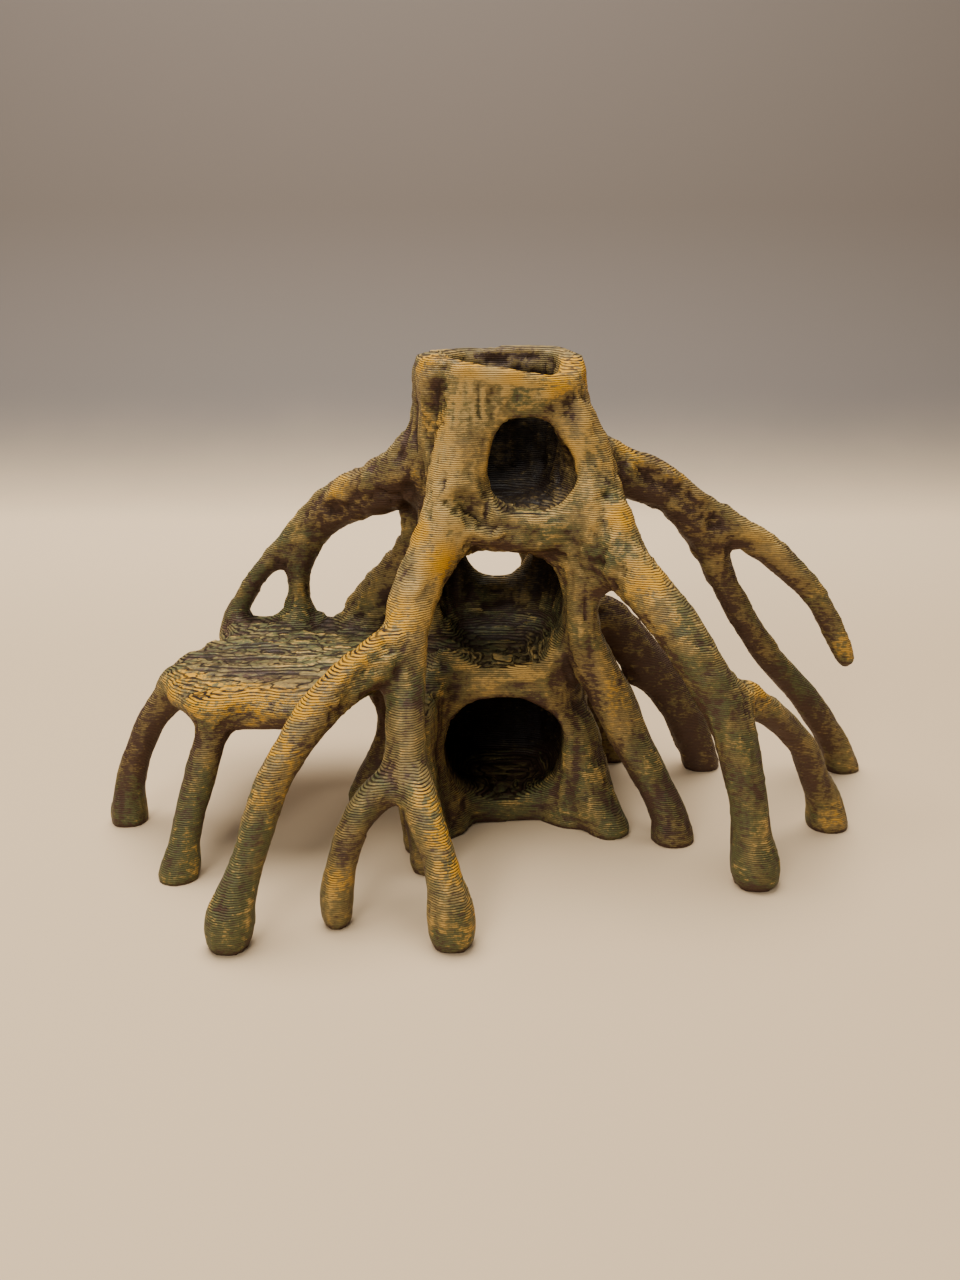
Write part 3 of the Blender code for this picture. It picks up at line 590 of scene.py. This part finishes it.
def make_printed_skin(node, low, high):
    """The printed body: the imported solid, faired, with bark relief and masks for its colours."""
    rng = np.random.default_rng(RELIEF_SEED)
    obj = refined_copy(node, "printed_root_cave")
    skin = Skin(obj.data)
    skin.fair(FAIRING_ROUNDS)
    rest = skin.points.copy()
    normals = skin.normals()
    along = weights_along(skin, grain_direction(skin, normals))

    lumps = evened(noise_at(rest, LUMP_SPACING, seed=1))
    ridges = evened(skin.smoothed(noise_at(rest, RIDGE_SPACING, seed=2, octaves=1), RIDGE_SMEAR, along))
    fibres = evened(skin.smoothed(rng.normal(size=skin.count), FIBRE_SMEAR, along))
    crumple = evened(noise_at(rest, CRUMPLE_SPACING, seed=3, octaves=3))
    bulge = ((rest - skin.smoothed(rest, BULGE_ROUNDS)) * normals).sum(axis=1)
    calm = np.clip(CALM_START - np.maximum(0.0, bulge) / BULGE_FULL, *CALM_LIMITS)
    bark = LUMP_HEIGHT * lumps + RIDGE_HEIGHT * ridges + CRUMPLE_HEIGHT * crumple
    bark += PIT_DEPTH * pits_at(skin, rng)
    relief = calm * (roughness_at(rest, lumps) * bark + FIBRE_HEIGHT * fibres)
    relief += creases_at(rest, crumple)
    relief += swells_at(rest, normals, skin, along)
    skin.points = np.clip(rest + normals * relief[:, None], np.array(low), np.array(high))
    skin.points[rest[:, 2] < SOLE_SNAP, 2] = low[2]
    skin.store()

    sunk = relief - skin.smoothed(relief, SUNK_ROUNDS)
    keep_mask(skin.mesh, "crest", MASK_MIDDLE + bulge / BULGE_FULL + sunk / SUNK_FULL)
    keep_mask(skin.mesh, "streak", MASK_MIDDLE + MASK_SPREAD * ridges)
    keep_mask(skin.mesh, "fibre", MASK_MIDDLE + MASK_SPREAD * fibres)
    # Painted shade inside the caves.
    keep_mask(skin.mesh, "cave", cave_shade_at(rest))
    for name, dabs in PAINT.items():
        keep_mask(skin.mesh, name, dabs_at(rest, dabs))
    skin.mesh.shade_smooth()
    return obj


class Nodes:
    """Short ways to add and join shader nodes."""

    def __init__(self, tree):
        self.tree = tree

    def add(self, kind, **settings):
        node = self.tree.nodes.new(kind)
        for name, value in settings.items():
            setattr(node, name, value)
        return node

    def put(self, source, socket):
        if isinstance(source, bpy.types.NodeSocket):
            self.tree.links.new(source, socket)
        else:
            socket.default_value = source

    def math(self, operation, first, second=0.0, clamp=False):
        node = self.add("ShaderNodeMath", operation=operation, use_clamp=clamp)
        self.put(first, node.inputs[0])
        self.put(second, node.inputs[1])
        return node.outputs[0]

    def sum(self, *terms):
        """Terms are outputs, or pairs of an output and its factor."""
        total = None
        for term in terms:
            value = self.math("MULTIPLY", *term) if isinstance(term, tuple) else term
            total = value if total is None else self.math("ADD", total, value)
        return total

    def mean(self, first, second):
        return self.sum((first, 0.5), (second, 0.5))

    def ramp(self, value, low, high, start=0.0, end=1.0):
        """A soft ramp from one value to another."""
        node = self.add("ShaderNodeMapRange", interpolation_type="SMOOTHSTEP")
        for source, name in (
            (value, "Value"), (low, "From Min"), (high, "From Max"), (start, "To Min"), (end, "To Max")
        ):
            self.put(source, node.inputs[name])
        return node.outputs[0]

    def mix(self, share, first, second):
        node = self.add("ShaderNodeMix", data_type="RGBA")
        for source, index in ((share, 0), (first, 6), (second, 7)):
            self.put(source, node.inputs[index])
        return node.outputs[2]

    def noise(self, place, scale, detail=3.0, roughness=0.55, distortion=0.0):
        node = self.add("ShaderNodeTexNoise")
        self.put(place, node.inputs["Vector"])
        for name, value in (
            ("Scale", scale), ("Detail", detail), ("Roughness", roughness), ("Distortion", distortion)
        ):
            node.inputs[name].default_value = value
        return node.outputs["Fac"]

    def mask(self, name):
        return self.add("ShaderNodeAttribute", attribute_name=name).outputs["Fac"]

    def scaled(self, place, factors):
        node = self.add("ShaderNodeVectorMath", operation="MULTIPLY")
        self.put(place, node.inputs[0])
        node.inputs[1].default_value = factors
        return node.outputs[0]

    def parts(self, vector):
        node = self.add("ShaderNodeSeparateXYZ")
        self.put(vector, node.inputs[0])
        return node.outputs


def print_layers_group():
    """Where a point lies in its print layer: dark edge, rounded height, and a value for each layer."""
    tree = bpy.data.node_groups.new("print_layers", "ShaderNodeTree")
    for name in ("Edge", "Height", "Layer"):
        tree.interface.new_socket(name, in_out="OUTPUT", socket_type="NodeSocketFloat")
    n = Nodes(tree)
    place = n.add("ShaderNodeTexCoord").outputs["Object"]
    either_way = n.math("SUBTRACT", n.noise(place, *LAYER_WAVER_NOISE), 0.5)
    waver = n.math("MULTIPLY", either_way, LAYER_WAVER)
    level = n.math("DIVIDE", n.math("ADD", n.parts(place)["Z"], waver), LAYER_PITCH)
    from_middle = n.math("ABSOLUTE", n.math("SUBTRACT", n.math("FRACT", level), 0.5))
    to_edge = n.math("MULTIPLY", n.math("SUBTRACT", 0.5, from_middle), LAYER_PITCH)
    up = n.parts(n.add("ShaderNodeNewGeometry").outputs["Normal"])["Z"]
    level_share = n.math("SUBTRACT", 1.0, n.math("MULTIPLY", up, up))
    steepness = n.math("SQRT", n.math("MAXIMUM", level_share, LEAST_STEEPNESS))
    on_surface = n.math("DIVIDE", to_edge, steepness)
    reach = n.ramp(steepness, *STEEP_TO_SHALLOW, STEEP_EDGE, SHALLOW_EDGE)
    edge = n.ramp(n.math("DIVIDE", on_surface, reach), *EDGE_FADE)
    fall = n.math("MULTIPLY", from_middle, n.math("MULTIPLY", from_middle, 4.0))
    out = n.add("NodeGroupOutput")
    n.put(edge, out.inputs["Edge"])
    n.put(n.math("SUBTRACT", 1.0, fall), out.inputs["Height"])
    n.put(n.math("FLOOR", level), out.inputs["Layer"])
    return tree


def printed_root_material():
    """Satin printed plastic: every layer streaked in its own way, under soft dabs of other colours and
    of painted light and shade.
    """
    material = bpy.data.materials.new("printed_root_bark")
    material.use_nodes = True
    n = Nodes(material.node_tree)
    shader = material.node_tree.nodes["Principled BSDF"]
    place = n.add("ShaderNodeTexCoord").outputs["Object"]
    layers = n.add("ShaderNodeGroup")
    layers.node_tree = print_layers_group()
    edge = layers.outputs["Edge"]
    up = n.parts(n.add("ShaderNodeNewGeometry").outputs["Normal"])["Z"]

    # Each layer has its own short streaks, and several layers share longer ones.
    by_layer = n.add("ShaderNodeCombineXYZ")
    n.put(n.parts(place)["X"], by_layer.inputs[0])
    n.put(n.parts(place)["Y"], by_layer.inputs[1])
    n.put(n.math("MULTIPLY", layers.outputs["Layer"], DASH_STEP), by_layer.inputs[2])
    dashes = n.noise(by_layer.outputs[0], *DASHES)
    streaks = n.noise(n.scaled(place, STREAK_SQUEEZE), *STREAKS)
    blotches = n.noise(n.scaled(place, BLOTCH_SQUEEZE), *BLOTCHES)
    broad = n.noise(place, *BROAD_PATCHES)
    flecks = n.noise(n.scaled(place, FLECK_SQUEEZE), *FLECKS)
    crest, moss, gilt_and_highlight_mask = n.mask("crest"), n.mask("moss"), n.mask("gilt_and_highlight")

    # One value runs from brown, through ochre or olive, to sand or gold; painted shade underneath and in
    # hollows lowers it, and painted highlight on crests raises it.
    low_down = n.ramp(n.parts(place)["Z"], *LOW_DOWN)
    patterns = {
        "blotches": blotches,
        "streaks": streaks,
        "dashes": dashes,
        "flecks": flecks,
        "crest": crest,
        "streak": n.mask("streak"),
        "fibre": n.mask("fibre"),
        "gilt_and_highlight": n.math("MULTIPLY", gilt_and_highlight_mask, n.ramp(n.mean(dashes, flecks), *GILT_AND_HIGHLIGHT_BREAKS)),
        "pale": n.mask("pale"),
        "wash_and_shade": n.mask("wash_and_shade"),
        "moss": moss,
        "low_down": low_down,
    }
    shares = [(patterns[name], share) for name, share in TONE_SHARES.items()]
    # Painted shade: darker where the skin faces down, and a little darker where it faces up.
    tone = n.sum(*shares, n.ramp(up, *SHADE_FACING_DOWN), n.ramp(up, *SHADE_FACING_UP))
    olive_share = n.sum(n.ramp(broad, *OLIVE_PATCHES), (moss, OLIVE_ON_MOSS), (low_down, OLIVE_LOW_DOWN))
    olive_share = n.math("MULTIPLY", olive_share, n.ramp(blotches, *OLIVE_BREAKS), clamp=True)
    middle = n.mix(olive_share, OCHRE, OLIVE)
    gold_share = n.sum(gilt_and_highlight_mask, n.ramp(crest, *GOLD_AND_HIGHLIGHT_ON_CRESTS), n.ramp(broad, *GOLD_PATCHES))
    bright = n.mix(n.math("MAXIMUM", gold_share, 0.0, clamp=True), SAND, GOLD)
    colour = n.mix(n.ramp(tone, TONE_BROWN, TONE_MIDDLE), BROWN, middle)
    colour = n.mix(n.ramp(tone, TONE_MIDDLE, TONE_BRIGHT), colour, bright)
    # Painted shade: the hollows are darkened.
    colour = n.mix(n.ramp(crest, *HOLLOW_SHADE), colour, DARK)

    # The layers' dark edges are broken here and there, and fainter on steep places.
    broken = n.ramp(n.mean(streaks, dashes), *LINE_BREAKS)
    line_share = n.math("MULTIPLY", edge, n.ramp(up, *LINE_FACING))
    colour = n.mix(n.math("MULTIPLY", line_share, broken), colour, DARK)

    # What lies flat shows the layers as winding contour lines.
    winding = n.noise(n.scaled(place, CONTOUR_SQUEEZE), *CONTOURS)
    turns = n.math("FRACT", n.math("MULTIPLY", winding, CONTOUR_TURNS))
    contour = n.ramp(n.math("ABSOLUTE", n.math("SUBTRACT", turns, 0.5)), *CONTOUR_LINES)
    colour = n.mix(n.math("MULTIPLY", contour, n.ramp(up, *CONTOUR_FACING)), colour, DARK)

    # Painted shade: the caves are dark inside, a little unevenly.
    unevenly = n.ramp(n.mean(streaks, flecks), *CAVE_SHADE_BREAKS)
    colour = n.mix(n.math("MULTIPLY", n.mask("cave"), unevenly), colour, CAVE_SHADE_COLOUR)
    n.put(colour, shader.inputs["Base Color"])
    worn = n.sum((blotches, WEAR_BLOTCHES), (edge, WEAR_EDGES))
    n.put(n.ramp(worn, *WEAR_TO_ROUGHNESS), shader.inputs["Roughness"])
    shader.inputs["Specular IOR Level"].default_value = SKIN_SHINE

    bump = n.add("ShaderNodeBump")
    bump.inputs["Strength"].default_value = BUMP_STRENGTH
    bump.inputs["Distance"].default_value = BUMP_DISTANCE
    fine_relief = n.sum(layers.outputs["Height"], (flecks, BUMP_FLECKS), (dashes, BUMP_DASHES))
    n.put(fine_relief, bump.inputs["Height"])
    n.put(bump.outputs["Normal"], shader.inputs["Normal"])
    return material


def sweep_material():
    """Pale paper, warmer and paler to the back of the floor where light is painted on, and darker up the
    wall where shade is painted on.
    """
    material = bpy.data.materials.new("pale_sweep")
    material.use_nodes = True
    n = Nodes(material.node_tree)
    shader = material.node_tree.nodes["Principled BSDF"]
    place = n.add("ShaderNodeTexCoord").outputs["Object"]
    back = n.parts(place)["Y"]
    colour = n.mix(n.ramp(back, *NEAR_TO_FAR), FLOOR_NEAR, LIT_FLOOR_FAR)
    mottle = n.math("MULTIPLY", n.noise(place, *SWEEP_MOTTLE), SWEEP_MOTTLE_SHIFT)
    up_wall = n.ramp(n.math("ADD", back, mottle), *FLOOR_TO_WALL)
    colour = n.mix(up_wall, colour, SHADED_WALL)
    n.put(colour, shader.inputs["Base Color"])
    shader.inputs["Roughness"].default_value = SWEEP_ROUGHNESS
    shader.inputs["Specular IOR Level"].default_value = SWEEP_SHINE
    return material


def make_sweep():
    """A pale floor that curves up into a backdrop."""
    profile = [(SWEEP_FRONT, 0.0), (SWEEP_BACK, 0.0)]
    for step in range(1, SWEEP_STEPS + 1):
        angle = math.pi / 2.0 * step / SWEEP_STEPS
        rise = SWEEP_BEND * (1.0 - math.cos(angle))
        profile.append((SWEEP_BACK + SWEEP_BEND * math.sin(angle), rise))
    profile.append((SWEEP_BACK + SWEEP_BEND, SWEEP_TOP))
    bm = bmesh.new()
    rows = [[bm.verts.new((x, y, z)) for y, z in profile] for x in (-SWEEP_HALF_WIDTH, SWEEP_HALF_WIDTH)]
    for a in range(len(profile) - 1):
        bm.faces.new((rows[0][a], rows[1][a], rows[1][a + 1], rows[0][a + 1]))
    mesh = bpy.data.meshes.new("pale_sweep")
    bm.to_mesh(mesh)
    bm.free()
    mesh.shade_smooth()
    mesh.materials.append(sweep_material())
    object_from("pale_sweep", mesh)


def add_light(name, place, target, size, power):
    data = bpy.data.lights.new(name, "AREA")
    data.shape = "DISK"
    data.size = size
    data.energy = power
    data.color = WARM_WHITE
    light = object_from(name, data)
    light.location = place
    light.rotation_euler = (Vector(target) - Vector(place)).to_track_quat("-Z", "Y").to_euler()


def add_lights():
    """One soft light above, one soft light in front, and a dim cool room around them."""
    add_light("soft_overhead", *OVERHEAD)
    add_light("soft_front", *FRONT)
    world = bpy.data.worlds.new("soft_room")
    bpy.context.scene.world = world
    world.use_nodes = True
    background = world.node_tree.nodes["Background"]
    background.inputs["Color"].default_value = ROOM_COLOUR
    background.inputs["Strength"].default_value = ROOM_STRENGTH


def add_camera():
    data = bpy.data.cameras.new("camera")
    data.lens = CAMERA_LENS
    data.sensor_width = CAMERA_FILM
    data.clip_start = CAMERA_NEAR
    camera = object_from("camera", data)
    camera.location = CAMERA_PLACE
    camera.rotation_euler = (math.radians(CAMERA_TILT), 0.0, 0.0)
    bpy.context.scene.camera = camera


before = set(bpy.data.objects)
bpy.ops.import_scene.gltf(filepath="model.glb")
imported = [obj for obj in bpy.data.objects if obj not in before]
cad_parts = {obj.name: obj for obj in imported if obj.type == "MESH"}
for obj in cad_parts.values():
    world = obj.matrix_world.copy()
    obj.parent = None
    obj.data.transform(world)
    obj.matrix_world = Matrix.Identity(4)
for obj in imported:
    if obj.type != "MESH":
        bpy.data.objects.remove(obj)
cad_low, cad_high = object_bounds()
body = make_printed_skin(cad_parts["mangrove_root_cave"], cad_low, cad_high)
body.data.materials.append(printed_root_material())
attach(body, "root")
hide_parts("mangrove_root_cave")
make_sweep()
add_lights()
add_camera()
